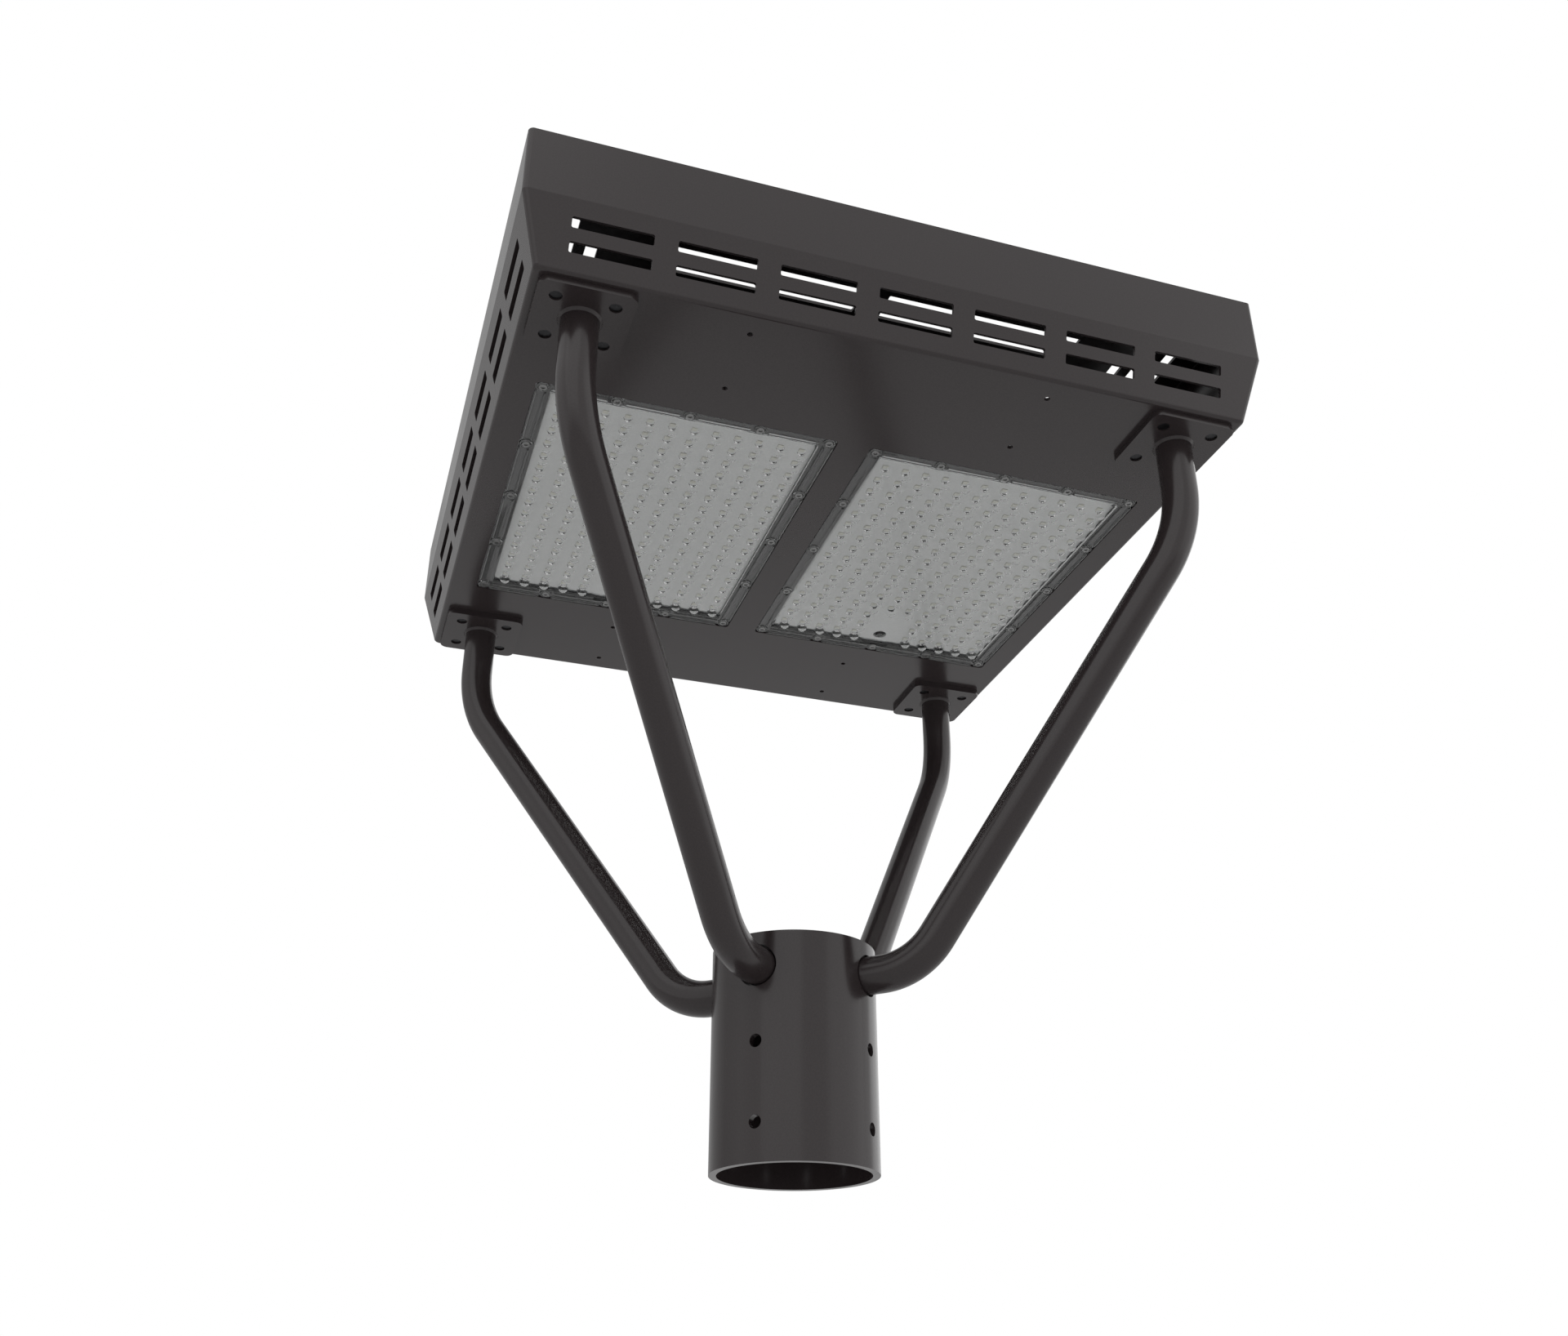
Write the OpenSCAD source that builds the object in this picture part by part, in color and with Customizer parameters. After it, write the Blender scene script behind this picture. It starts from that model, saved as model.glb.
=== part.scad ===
// Post top area light: a vented square head on four bent arms over a post sleeve.
// Millimetres, +Z up. The origin is the centre of the sleeve's lower end.
// +X runs along the head, from the left light module to the right one.

/* [Post sleeve] */
// Inside diameter, a clearance fit over a 76 mm post top
socket_d = 80; // [70:0.5:110]
// Wall of the sleeve
sleeve_wall = 4; // [3:0.5:8]
// Height of the sleeve
sleeve_h = 116; // [108:1:180]
// Height of the lower row of set screw holes
set_row_z = 19.5; // [10:0.5:30]
// Distance between the two rows of set screw holes
set_row_pitch = 40; // [20:1:50]
// Tapping hole of an M8 set screw
tapping_d = 6.8; // [5:0.1:10]

/* [Arms] */
// Outside diameter of the arm tube
arm_d = 20; // [16:0.5:28]
// Wall of the arm tube
arm_wall = 2; // [1:0.25:4]
// Depth of the arms below the sleeve's upper end, where they leave it
arm_drop = 17.5; // [14.5:0.5:22]
// Distance from the sleeve to the lower corner of an arm
knee_reach = 27.5; // [24:0.5:40]
// Bend radius at the lower corner, on the tube's centre line
knee_bend = 40; // [30:1:48]
// Height of the head above the upper corner of an arm
shoulder_drop = 58.7; // [48:0.1:80]
// Bend radius at the upper corner, on the tube's centre line
shoulder_bend = 80; // [60:1:96]
// Gap around an arm where it passes through the sleeve
arm_clearance = 1; // [0.5:0.1:2]

/* [Arm flanges] */
// Distance from a flange to the edge of the head's underside
flange_edge = 3.5; // [1:0.5:8]
// Side of the square flange
flange_w = 50; // [42:1:60]
// Thickness of the flange
flange_t = 3.5; // [2.5:0.5:6]
// Distance from a flange hole's centre to the flange's edge
flange_hole_edge = 10; // [8:0.5:11]
// Corner radius of the flange
flange_r = 5; // [2:0.5:10]

/* [Housing] */
// Height of the head's underside above the sleeve's lower end
pan_z = 379.5; // [310:0.5:460]
// How far the band leans out from the underside to the waist
band_lean = 10.25; // [6:0.25:16]
// Height of the sloping vented band
band_h = 39.3; // [33:0.1:48]
// Height of the upright skirt above the band
skirt_h = 40.3; // [34:0.1:60]
// Thickness of the housing sheet
sheet = 2; // [1.5:0.1:2.5]
// Outside radius of the folds
fold_r = 2.5; // [2.5:0.1:5]
// Radius of the dressed corners
corner_r = 3; // [2.5:0.1:6]

/* [Band vents] */
// Length of a vent slot
vent_l = 41.5; // [20:0.5:48]
// Height of a vent slot
vent_h = 6; // [3:0.5:8]
// Distance between neighbouring slots
vent_pitch = 53.75; // [50:0.25:65]
// Least distance from the end of a row to the edge of the underside
vent_margin = 12; // [8:1:40]
// Distance of the lower row from the lower fold, along the slope
vent_row = 14.35; // [10:0.05:16]
// Distance between the two rows, along the slope
vent_row_pitch = 13.45; // [11:0.05:16]

/* [Cover vents] */
// Width of a cover slot
slat_gap = 6.5; // [3:0.5:8]
// Distance between neighbouring cover slots
slat_pitch = 13; // [11:0.5:15]
// Number of slots from the inner one to the outer one
slat_count = 5; // [2:1:5]
// Distance of the outermost slot from the side of the head
slat_inset = 20.75; // [17:0.25:30]
// Distance from a slot's end to the corner diagonal
slat_mitre = 19.5; // [10:0.5:30]
// Width of the rib that divides each slot at its middle
slat_rib = 16; // [8:0.5:30]

/* [Light modules] */
// Width of a lens plate
module_w = 170.5; // [142:0.5:205]
// Length of a lens plate
module_l = 222.5; // [185:0.5:267]
// Gap between the two lens plates
module_gap = 19.9; // [18:0.1:40]
// Least distance from a lens plate's side to the edge of the underside
module_side = 17.05; // [15:0.05:40]
// Least distance from a lens plate's end to the edge of the underside
module_end = 86.25; // [72:0.25:110]
// Distance of both modules behind the centre line
module_y = 0.5; // [-2:0.5:2]
// Width of the ribbed rim round the lenses
rim_w = 9; // [8:0.25:10.75]
// Spacing of the lenses across a module
lens_pitch_x = 12.65; // [11:0.05:15.2]
// Spacing of the lenses along a module
lens_pitch_y = 12.4; // [11:0.1:15]
// Least distance from the side of the window to the outer lens column
lens_edge_x = 6.5; // [6:0.25:12]
// Least distance from the end of the window to the outer lens row
lens_edge_y = 9; // [6:0.25:12]
// Diameter of a lens where it meets the plate
lens_d = 8; // [7:0.25:10.5]
// Diameter of a lens where its rounded end begins
lens_tip_d = 5.2; // [3:0.2:6]
// Height that a lens stands below the plate
lens_h = 4.4; // [2:0.2:5]
// Diameter of the hollow over each lamp chip
lens_well_d = 4.6; // [4.6:0.2:5.6]
// Thickness of the clear window plate
window_t = 2; // [1.5:0.1:2.4]
// Diameter of a screw boss on the rim
boss_d = 7.6; // [6.8:0.1:9]

/* [Heat sinks] */
// Thickness of a heat sink's base
sink_base = 8; // [6:0.5:12]
// Thickness of a fin
fin_t = 2; // [1:0.25:3]
// Distance between neighbouring fins
fin_pitch = 9.2; // [8:0.1:11]

/* [Driver] */
// Width of a driver case
driver_w = 60; // [50:1:72]
// Height of a driver case
driver_h = 34; // [28:1:41]
// Length of a driver with its ears
driver_l = 162; // [135:1:195]
// Room between the drivers and the cover
driver_room = 6.6; // [4:0.1:10]

/* [Hidden] */

$fn = 48;
eps = 0.01;

// Places of the four arms: left is -X, front is -Y
FRONT_LEFT = 225;
FRONT_RIGHT = 315;
REAR_LEFT = 135;
REAR_RIGHT = 45;
arm_azimuths = [FRONT_LEFT, FRONT_RIGHT, REAR_LEFT, REAR_RIGHT];

// How often a step fits into a room
function steps_in(room, step) = floor(room / step + eps);

// Head, wide enough for its two light modules
pan_w = max(2 * (module_w + module_side) + module_gap, module_l + 2 * module_end);
head_w = pan_w + 2 * band_lean;
waist_z = pan_z + band_h;
top_z = waist_z + skirt_h;
band_angle = atan(band_lean / band_h);

// Post sleeve and hub
sleeve_d = socket_d + 2 * sleeve_wall;
arm_z = sleeve_h - arm_drop;
hub_fit = 0.1;
hub_shoulder = 1;
hub_seat_d = socket_d + 2 * hub_shoulder;
hub_d = hub_seat_d - 2 * hub_fit;
hub_foot = 3;
hub_h = 2 * arm_drop - hub_foot;
hub_bottom = sleeve_h - hub_h;
hub_chamfer = 0.5;
hub_wire_d = 26;
hub_top_wall = 6;
arm_seat_r = arm_d / 2 + 7;
arm_fit = 0.05;

// Arms: the straight part runs from the lower corner to the upper one
flange_centre_r = sqrt(2) * (pan_w / 2 - flange_edge - flange_w / 2);
knee_r = sleeve_d / 2 + knee_reach;
arm_reach = flange_centre_r - knee_r;
arm_rise = pan_z - shoulder_drop - arm_z;
arm_slope = atan(arm_rise / arm_reach);
knee_tangent = knee_bend * tan(arm_slope / 2);
shoulder_tangent = shoulder_bend * tan((90 - arm_slope) / 2);
arm_straight = norm([arm_reach, arm_rise]) - knee_tangent - shoulder_tangent;
arm_end_gap = 0.2;
arm_upright = shoulder_drop - shoulder_tangent - arm_end_gap;
weld_leg = 1.6;
bend_lap = 0.5;
bend_thinning = 0.02;

// Flange bolts
flange_pitch = flange_w - 2 * flange_hole_edge;
bolt_head_af = 13;
bolt_head_h = 5.3;
bolt_washer_d = 16;
bolt_washer_t = 1.6;
bolt_d = 6.6;
bolt_recess = 1;
bolt_hole_d = 9;
wire_way_d = arm_d - 2 * arm_wall - 2;

// Housing openings
vent_steps = steps_in(pan_w - 2 * vent_margin - vent_l, vent_pitch);
vent_corner = 1;
accessory_hole_d = 3.2;
accessory_x = pan_w / 2 - 113.5;
accessory_rows = [pan_w / 2 - 60.9, pan_w / 2 - 15.1];

// Cover
cover_gap = 0.5;
cover_w = head_w - 2 * sheet - 2 * cover_gap;
lug_w = 24;
lug_reach = 15;
lug_drop = 18;
lug_t = 2;
lug_inset = 97.75;
cover_screw_d = 5;
cover_screw_l = 10;
cover_screw_head_d = 9.5;
cover_screw_head_h = 2.6;
cover_screw_inset = 7.5;

// Light modules, measured up from the underside of the head
module_pitch = module_w + module_gap;
window_w = module_w - 2 * rim_w;
window_l = module_l - 2 * rim_w;
rib_t = 1.2;
rib_h = 1.2;
inner_rib = 5.4;
rim_t = 1.6;
rim_top = rib_h + rim_t;
gasket_t = 0.8;
board_z = rim_top + gasket_t;
board_t = 1.6;
board_w = window_w;
board_end_gap = 1.5;
board_l = window_l - 2 * board_end_gap;
chip_w = 3.2;
chip_t = 0.6;
module_corner = 2.5;
window_corner = 4;
boss_inset = boss_d / 2 + 0.2;
boss_relief = boss_d / 2 + 1.8;
boss_x = module_w / 2 - boss_inset;
boss_y = module_l / 2 - boss_inset;
lens_x_steps = steps_in(window_w - 2 * lens_edge_x, lens_pitch_x);
lens_y_steps = steps_in(window_l - 2 * lens_edge_y, lens_pitch_y);
blank_rows = 3;
wire_hole_d = 9;
wire_hole_y = lens_y_steps / 2 * lens_pitch_y;
notch_w = 18.6;
lens_screw_d = 2.9;
lens_screw_head_d = 5.6;
lens_screw_head_h = 1;
lens_screw_bite = 5;
tap_fit = 0.1;
seat_gap = 0.3;

// Heat sinks
sink_lip_x = 3.5;
sink_lip_y = 12;
sink_w = module_w + 2 * sink_lip_x;
sink_l = module_l + 2 * sink_lip_y;
sink_top = sheet + sink_base;
fin_count = 2 * floor((sink_w - fin_t) / fin_pitch / 2);
fin_l = module_l - 4;
sink_hole_d = 4.5;

// Weld studs and their nuts
stud_d = 4;
stud_tip = 2;
stud_x = module_w / 2 - 15.25;
stud_inset = 6;
nut_af = 7;
nut_h = 3.2;

// Driver tray: a folded bridge over both heat sinks, whose fins take the height that is left
tray_t = 2;
tray_gap = 3;
fin_h = band_h + skirt_h - 2 * sheet - sink_base - tray_gap - tray_t - driver_h - driver_room;
tray_z = pan_z + sink_top + fin_h + tray_gap;
tray_edge = 12;
driver_gap = 12;
tray_w = 2 * driver_w + 2 * tray_edge;
tray_foot = 16;
tray_stud_x = tray_w / 2 - 32;
driver_x = (driver_w + driver_gap) / 2;
ear_l = 12;
ear_t = 3;
ear_inset = 8;
driver_screw_d = 4;
driver_screw_head_d = 7.6;
driver_screw_head_h = 2.4;

// Leads, from a gland on the driver to the hole in the board
lead_d = 4;
lead_bend = 10;
lead_run = 13.5;
lead_z = 14;
lead_end = 0.6;
lead_hole_d = 9;
gland_d = 9;
gland_l = 6;
gland_bite = 5;

// Along the tray: the terminal block, the drivers and the surge protector
lead_start_y = module_y + wire_hole_y - lead_bend - lead_run;
driver_y = lead_start_y + gland_bite - gland_l + ear_l - driver_l / 2;
block_w = 45;
block_l = 18;
block_h = 17;
block_ways = 5;
surge_l = 26;
unit_gap = 17.75;
block_y = driver_y + driver_l / 2 + unit_gap + surge_l / 2;
surge_y = driver_y - driver_l / 2 - unit_gap - surge_l / 2;
tray_leg_y = max(sink_l / 2 + abs(module_y) + 6, abs(block_y) + 18, abs(surge_y) + 18);

// Places of the sixteen bosses of a module: five along each end, three between along each side
boss_places = concat(
    [for (step = [-2 : 2], end = [-1, 1]) [step * boss_x / 2, end * boss_y]],
    [for (step = [-1 : 1], side = [-1, 1]) [side * boss_x, step * boss_y / 2]]
);

// The middle columns of the last rows are left out, for the hole that the lead comes through
function is_blank(x, row) = abs(x) < lens_pitch_x && row > lens_y_steps - blank_rows;

lens_places = [
    for (column = [0 : lens_x_steps], row = [0 : lens_y_steps])
        let (x = (column - lens_x_steps / 2) * lens_pitch_x, y = (row - lens_y_steps / 2) * lens_pitch_y)
            if (!is_blank(x, row)) [x, y]
];

// Points of the arc that rounds corner p between its neighbours a and b
function rounded_corner(a, p, b, r, steps = 5) =
    let (
        u = (a - p) / norm(a - p),
        v = (b - p) / norm(b - p),
        half = acos(u * v) / 2,
        centre = p + (u + v) / norm(u + v) * r / sin(half),
        first = p + u * r / tan(half) - centre,
        last = p + v * r / tan(half) - centre,
        start = atan2(first.y, first.x),
        turn = atan2(last.y, last.x) - start,
        sweep = turn > 180 ? turn - 360 : turn < -180 ? turn + 360 : turn
    )
    [for (i = [0 : steps]) centre + r * [cos(start + sweep * i / steps), sin(start + sweep * i / steps)]];

// Half section of the head, inset by the given thickness: floor, fold, band, fold, skirt
function head_section(inset) =
    let (
        band_inset = inset / cos(band_angle),
        floor_z = pan_z + inset,
        fold_x = pan_w / 2 + inset * tan(band_angle) - band_inset,
        waist_x = head_w / 2 - inset,
        waist_in_z = pan_z + (waist_x + band_inset - pan_w / 2) / tan(band_angle),
        top = [waist_x, top_z + (inset > 0 ? 1 : 0)],
        fold = [fold_x, floor_z],
        waist = [waist_x, waist_in_z],
        r = max(fold_r - inset, 0.3)
    )
    concat(
        rounded_corner([0, floor_z], fold, waist, r),
        rounded_corner(fold, waist, top, r),
        [top]
    );

// The section as seen from azimuth a, so that the corners come out rounded by radius r
function turned_section(points, a, r) =
    [for (p = points) [(p.x - r) * (abs(cos(a)) + abs(sin(a))) + r, p.y]];

function mirrored(points) =
    concat(points, [for (i = [len(points) - 1 : -1 : 0]) [-points[i].x, points[i].y]]);

// Flat outlines and small solids that several parts share

module rounded_rect(w, l, r) {
    square([w - 2 * r, l], center = true);
    square([w, l - 2 * r], center = true);
    for (x = [-1, 1], y = [-1, 1])
        translate([x * (w / 2 - r), y * (l / 2 - r)])
            circle(r);
}

module plate(w, l, t, r) {
    linear_extrude(t)
        rounded_rect(w, l, r);
}

module ring_wall(w, l, t, h, r) {
    linear_extrude(h)
        difference() {
            rounded_rect(w, l, r);
            rounded_rect(w - 2 * t, l - 2 * t, max(r - t, 0.5));
        }
}

module hex_prism(af, h) {
    cylinder(d = af / cos(30), h = h, $fn = 6);
}

// A pan head screw that points up, its bearing face at z = 0
module pan_screw(d, length, head_d, head_h) {
    cylinder(d = d, h = length);
    translate([0, 0, -head_h])
        difference() {
            cylinder(d1 = head_d * 0.8, d2 = head_d, h = head_h);
            translate([0, 0, -eps])
                hex_prism(head_d * 0.4, head_h * 0.5);
        }
}

module on_each(places) {
    for (p = places)
        translate([p.x, p.y, 0])
            children();
}

module on_four_corners(x, y) {
    on_each([for (i = [-1, 1], j = [-1, 1]) [i * x, j * y]])
        children();
}

// side is -1 for the left module and 1 for the right one
module at_module(side) {
    translate([side * module_pitch / 2, module_y, pan_z])
        children();
}

module at_flange(azimuth) {
    rotate([0, 0, azimuth])
        translate([flange_centre_r, 0, pan_z])
            rotate([0, 0, 45])
                children();
}

// Post sleeve and the hub welded into its upper end

module set_screw_holes() {
    for (azimuth = arm_azimuths, row = [0, 1])
        rotate([0, 0, azimuth])
            translate([socket_d / 2 - sleeve_wall, 0, set_row_z + row * set_row_pitch])
                rotate([0, 90, 0])
                    cylinder(d = tapping_d, h = 3 * sleeve_wall);
}

module post_sleeve() {
    color("dimgray")
        difference() {
            cylinder(d = sleeve_d, h = sleeve_h, $fn = 96);
            translate([0, 0, -eps])
                cylinder(d = socket_d, h = sleeve_h + 2 * eps, $fn = 96);
            translate([0, 0, hub_bottom])
                cylinder(d = hub_seat_d, h = hub_h + eps, $fn = 96);
            set_screw_holes();
            for (azimuth = arm_azimuths)
                rotate([0, 0, azimuth])
                    translate([socket_d / 2 - sleeve_wall, 0, arm_z])
                        rotate([0, 90, 0])
                            cylinder(d = arm_d + 2 * arm_clearance, h = 3 * sleeve_wall);
        }
}

module arm_hub() {
    color("dimgray")
        difference() {
            union() {
                translate([0, 0, hub_bottom])
                    cylinder(d1 = hub_d - 2 * hub_chamfer, d2 = hub_d, h = hub_chamfer, $fn = 96);
                translate([0, 0, hub_bottom + hub_chamfer])
                    cylinder(d = hub_d, h = hub_h - hub_chamfer, $fn = 96);
            }
            for (azimuth = arm_azimuths)
                rotate([0, 0, azimuth])
                    translate([arm_seat_r, 0, arm_z])
                        rotate([0, 90, 0])
                            cylinder(r = arm_d / 2 + arm_fit, h = socket_d);
            for (azimuth = arm_azimuths)
                rotate([0, 0, azimuth])
                    translate([0, 0, arm_z])
                        rotate([0, 90, 0])
                            cylinder(d = arm_d - 2 * arm_wall, h = arm_seat_r + eps);
            translate([0, 0, hub_bottom - eps])
                cylinder(d = hub_wire_d, h = hub_h - hub_top_wall);
        }
}

// Arms: a bent tube drawn stretch by stretch, each one starting where the last one ended

module tube_outline(thinning = 0) {
    difference() {
        circle(r = arm_d / 2 - thinning);
        circle(r = arm_d / 2 - arm_wall + thinning);
    }
}

// The straight stretches run a little way into the bends, whose wall is a hair thinner
module tube_run(length, lead_in = bend_lap, lead_out = bend_lap) {
    translate([-lead_in, 0, 0])
        rotate([0, 90, 0])
            linear_extrude(lead_in + length + lead_out)
                tube_outline();
    translate([length, 0, 0])
        children();
}

module tube_bend(radius, angle) {
    translate([0, 0, radius])
        rotate([90, 0, 0])
            rotate([0, 0, -90])
                rotate_extrude(angle = angle)
                    translate([radius, 0])
                        tube_outline(bend_thinning);
    translate([0, 0, radius])
        rotate([0, -angle, 0])
            translate([0, 0, -radius])
                children();
}

module arm(azimuth) {
    color("dimgray")
        rotate([0, 0, azimuth])
            translate([arm_seat_r, 0, arm_z])
                tube_run(knee_r - knee_tangent - arm_seat_r, lead_in = 0)
                    tube_bend(knee_bend, arm_slope)
                        tube_run(arm_straight)
                            tube_bend(shoulder_bend, 90 - arm_slope)
                                tube_run(arm_upright, lead_out = 0);
}

module arm_front_left() { arm(FRONT_LEFT); }
module arm_front_right() { arm(FRONT_RIGHT); }
module arm_rear_left() { arm(REAR_LEFT); }
module arm_rear_right() { arm(REAR_RIGHT); }

// Flange: a square plate on the arm's upper end, with the weld that joins the two
module flange(azimuth) {
    color("dimgray")
        at_flange(azimuth)
            difference() {
                union() {
                    translate([0, 0, -flange_t])
                        plate(flange_w, flange_w, flange_t, flange_r);
                    translate([0, 0, -flange_t - weld_leg])
                        cylinder(r1 = arm_d / 2 + weld_leg / 3, r2 = arm_d / 2 + weld_leg, h = weld_leg);
                }
                translate([0, 0, -flange_t - weld_leg - eps])
                    cylinder(r = arm_d / 2 + arm_fit, h = flange_t + weld_leg + 2 * eps);
                on_four_corners(flange_pitch / 2, flange_pitch / 2)
                    translate([0, 0, -flange_t - eps])
                        cylinder(d = tapping_d, h = flange_t + 2 * eps);
            }
}

module flange_front_left() { flange(FRONT_LEFT); }
module flange_front_right() { flange(FRONT_RIGHT); }
module flange_rear_left() { flange(REAR_LEFT); }
module flange_rear_right() { flange(REAR_RIGHT); }

// Sixteen bolts driven down from inside the head, their tips just inside the flange holes
module flange_bolts() {
    color("darkslategray")
        for (azimuth = arm_azimuths)
            at_flange(azimuth)
                on_four_corners(flange_pitch / 2, flange_pitch / 2) {
                    translate([0, 0, bolt_recess - flange_t])
                        cylinder(d = bolt_d, h = sheet + flange_t - bolt_recess + eps);
                    translate([0, 0, sheet])
                        cylinder(d = bolt_washer_d, h = bolt_washer_t);
                    translate([0, 0, sheet + bolt_washer_t])
                        hex_prism(bolt_head_af, bolt_head_h);
                }
}

// Housing shell: floor, sloping band and skirt folded from one sheet, corners welded and dressed

module head_block(inset) {
    points = head_section(inset);
    intersection_for (a = [0 : 22.5 : 157.5])
        rotate([0, 0, a])
            rotate([90, 0, 0])
                linear_extrude(2 * head_w, center = true)
                    polygon(mirrored(turned_section(points, a, corner_r - inset / 2)));
}

module band_vents() {
    for (side = [0 : 3], row = [0, 1], i = [0 : vent_steps])
        rotate([0, 0, 90 * side])
            translate([0, -pan_w / 2, pan_z])
                rotate([90 + band_angle, 0, 0])
                    translate([(i - vent_steps / 2) * vent_pitch, vent_row + row * vent_row_pitch, 0])
                        linear_extrude(4 * sheet, center = true)
                            rounded_rect(vent_l, vent_h, vent_corner);
}

module module_windows() {
    for (side = [-1, 1])
        at_module(side)
            translate([0, 0, -sheet])
                plate(module_w + 2 * seat_gap, module_l + 2 * seat_gap, 3 * sheet, module_corner);
}

module floor_holes() {
    for (azimuth = arm_azimuths)
        at_flange(azimuth)
            translate([0, 0, -sheet]) {
                on_four_corners(flange_pitch / 2, flange_pitch / 2)
                    cylinder(d = bolt_hole_d, h = 3 * sheet);
                cylinder(d = wire_way_d, h = 3 * sheet);
            }
    for (y = accessory_rows)
        on_four_corners(accessory_x, y)
            translate([0, 0, pan_z - sheet])
                cylinder(d = accessory_hole_d, h = 3 * sheet);
}

module housing_shell() {
    color("dimgray")
        difference() {
            head_block(0);
            head_block(sheet);
            band_vents();
            module_windows();
            floor_holes();
        }
}

// Studs welded to the floor, which hold the heat sinks and the driver tray
stud_places = concat(
    [for (side = [-1, 1], step = [-1 : 1], end = [-1, 1])
        [side * module_pitch / 2 + step * stud_x, module_y + end * (module_l / 2 + stud_inset), sink_top]],
    [for (x = [-tray_stud_x, tray_stud_x], end = [-1, 1])
        [x, end * (tray_leg_y + tray_foot / 2), sheet + tray_t]]
);

module weld_studs() {
    color("gray")
        for (p = stud_places)
            translate([p.x, p.y, pan_z + sheet])
                cylinder(d = stud_d, h = p.z - sheet + nut_h + stud_tip);
}

module inner_nuts() {
    color("silver")
        for (p = stud_places)
            translate([p.x, p.y, pan_z + p.z])
                difference() {
                    hex_prism(nut_af, nut_h);
                    translate([0, 0, -eps])
                        cylinder(r = stud_d / 2 + arm_fit, h = nut_h + 2 * eps);
                }
}

// Top cover: a flat slotted sheet let in flush with the skirt, on eight lugs

module cover_vents() {
    for (side = [0 : 3], i = [0 : slat_count - 1], half = [-1, 1]) {
        d = head_w / 2 - slat_inset - i * slat_pitch;
        reach = d - slat_mitre - slat_rib / 2;
        rotate([0, 0, 90 * side])
            translate([half * (slat_rib + reach) / 2, -d, top_z - 2 * sheet])
                plate(reach, slat_gap, 3 * sheet, vent_corner);
    }
}

// Places of the cover screws: two on each side, one over each lug
module at_lugs() {
    for (side = [0 : 3], end = [-1, 1])
        rotate([0, 0, 90 * side])
            translate([end * (head_w / 2 - lug_inset), -head_w / 2 + sheet, top_z - sheet])
                children();
}

module top_cover() {
    color("dimgray")
        difference() {
            translate([0, 0, top_z - sheet])
                plate(cover_w, cover_w, sheet, corner_r);
            cover_vents();
            at_lugs()
                translate([0, cover_screw_inset, -sheet])
                    cylinder(d = cover_screw_d + 0.5, h = 3 * sheet);
        }
}

module cover_lugs() {
    color("gray")
        at_lugs()
            difference() {
                union() {
                    translate([-lug_w / 2, 0, -lug_t])
                        cube([lug_w, lug_reach, lug_t]);
                    translate([-lug_w / 2, 0, -lug_drop])
                        cube([lug_w, lug_t, lug_drop]);
                }
                translate([0, cover_screw_inset, -2 * lug_t])
                    cylinder(d = cover_screw_d + 2 * tap_fit, h = 3 * lug_t);
            }
}

module cover_screws() {
    color("silver")
        at_lugs()
            translate([0, cover_screw_inset, sheet])
                rotate([180, 0, 0])
                    pan_screw(cover_screw_d, cover_screw_l, cover_screw_head_d, cover_screw_head_h);
}

// Lens plate: clear window with a lens over each chip, ribbed rim and sixteen screw bosses

module lens_dome() {
    cap_h = lens_tip_d / 4;
    cap_r = (lens_tip_d * lens_tip_d / 4 + cap_h * cap_h) / (2 * cap_h);
    rotate([180, 0, 0])
        rotate_extrude($fn = 24)
            union() {
                polygon([
                    [0, -window_t / 2],
                    [lens_d / 2, -window_t / 2],
                    [lens_d / 2, 0],
                    [lens_tip_d / 2, lens_h - cap_h],
                    [0, lens_h - cap_h]
                ]);
                intersection() {
                    translate([0, lens_h - cap_r])
                        circle(cap_r);
                    translate([0, lens_h - cap_h - eps])
                        square([lens_tip_d / 2, cap_h + 2 * eps]);
                }
            }
}

module rim_ribs() {
    difference() {
        union() {
            ring_wall(module_w, module_l, rib_t, rib_h + eps, module_corner);
            ring_wall(module_w - 2 * inner_rib, module_l - 2 * inner_rib, rib_t, rib_h + eps, 2);
        }
        on_each(boss_places)
            translate([0, 0, -eps])
                cylinder(r = boss_relief, h = rib_h + 3 * eps);
    }
}

module lens_plate(side) {
    color("lightcyan", 0.5)
        at_module(side)
            difference() {
                union() {
                    translate([0, 0, rib_h])
                        ring_wall(module_w, module_l, rim_w + eps, rim_t, module_corner);
                    rim_ribs();
                    difference() {
                        plate(window_w, window_l, window_t, window_corner);
                        on_each(boss_places)
                            translate([0, 0, -eps])
                                cylinder(r = boss_relief, h = rib_h);
                    }
                    on_each(boss_places)
                        cylinder(d = boss_d, h = rim_top);
                    on_each(lens_places)
                        lens_dome();
                }
                translate([-notch_w / 2, window_l / 2 + eps, -eps])
                    cube([notch_w, rim_w - inner_rib - eps, rim_top + 2 * eps]);
                on_each(lens_places)
                    translate([0, 0, window_t])
                        sphere(d = lens_well_d, $fn = 24);
                on_each(boss_places) {
                    translate([0, 0, -eps])
                        cylinder(d = lens_screw_d + 0.4, h = rim_top + 2 * eps);
                    translate([0, 0, -eps])
                        cylinder(d = lens_screw_head_d + 0.6, h = lens_screw_head_h + eps);
                }
            }
}

module lens_plate_left() { lens_plate(-1); }
module lens_plate_right() { lens_plate(1); }

module lens_screws(side) {
    color("silver")
        at_module(side)
            on_each(boss_places)
                translate([0, 0, lens_screw_head_h])
                    pan_screw(
                        lens_screw_d,
                        board_z - lens_screw_head_h + lens_screw_bite,
                        lens_screw_head_d,
                        lens_screw_head_h
                    );
}

module lens_screws_left() { lens_screws(-1); }
module lens_screws_right() { lens_screws(1); }

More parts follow.
